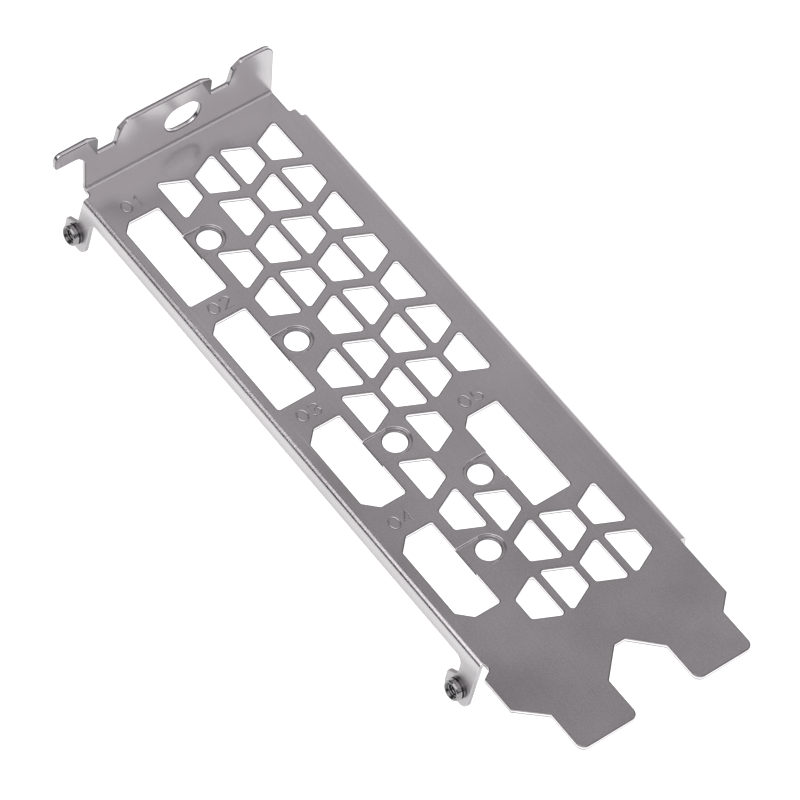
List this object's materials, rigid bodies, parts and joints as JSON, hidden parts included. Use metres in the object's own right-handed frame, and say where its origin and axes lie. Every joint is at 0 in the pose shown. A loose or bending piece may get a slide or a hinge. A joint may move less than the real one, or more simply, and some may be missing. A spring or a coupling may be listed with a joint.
{
  "type": "graphics card bracket",
  "caption": "Folded, plated steel slot bracket with vents, connector openings, an upright screw flange, side tabs with clinch nuts, and feet.",
  "frame": {"origin": "on the seat face of the screw flange, midway between the two fixing screws, at the screws' height", "axes": "+X across the slots to the right as seen from outside, +Y from the feet towards the screw flange, +Z out of the outer face"},
  "size_m": [0.0414, 0.1208, 0.0216],
  "materials": {
    "plated_sheet": "satin nickel plate on cold-rolled sheet",
    "nut_steel": "bright plated, turned"
  },
  "bodies": {
    "root": {"bracket_sheet": "plated_sheet", "upper_clinch_nut": "nut_steel", "lower_clinch_nut": "nut_steel"}
  },
  "joints": []
}
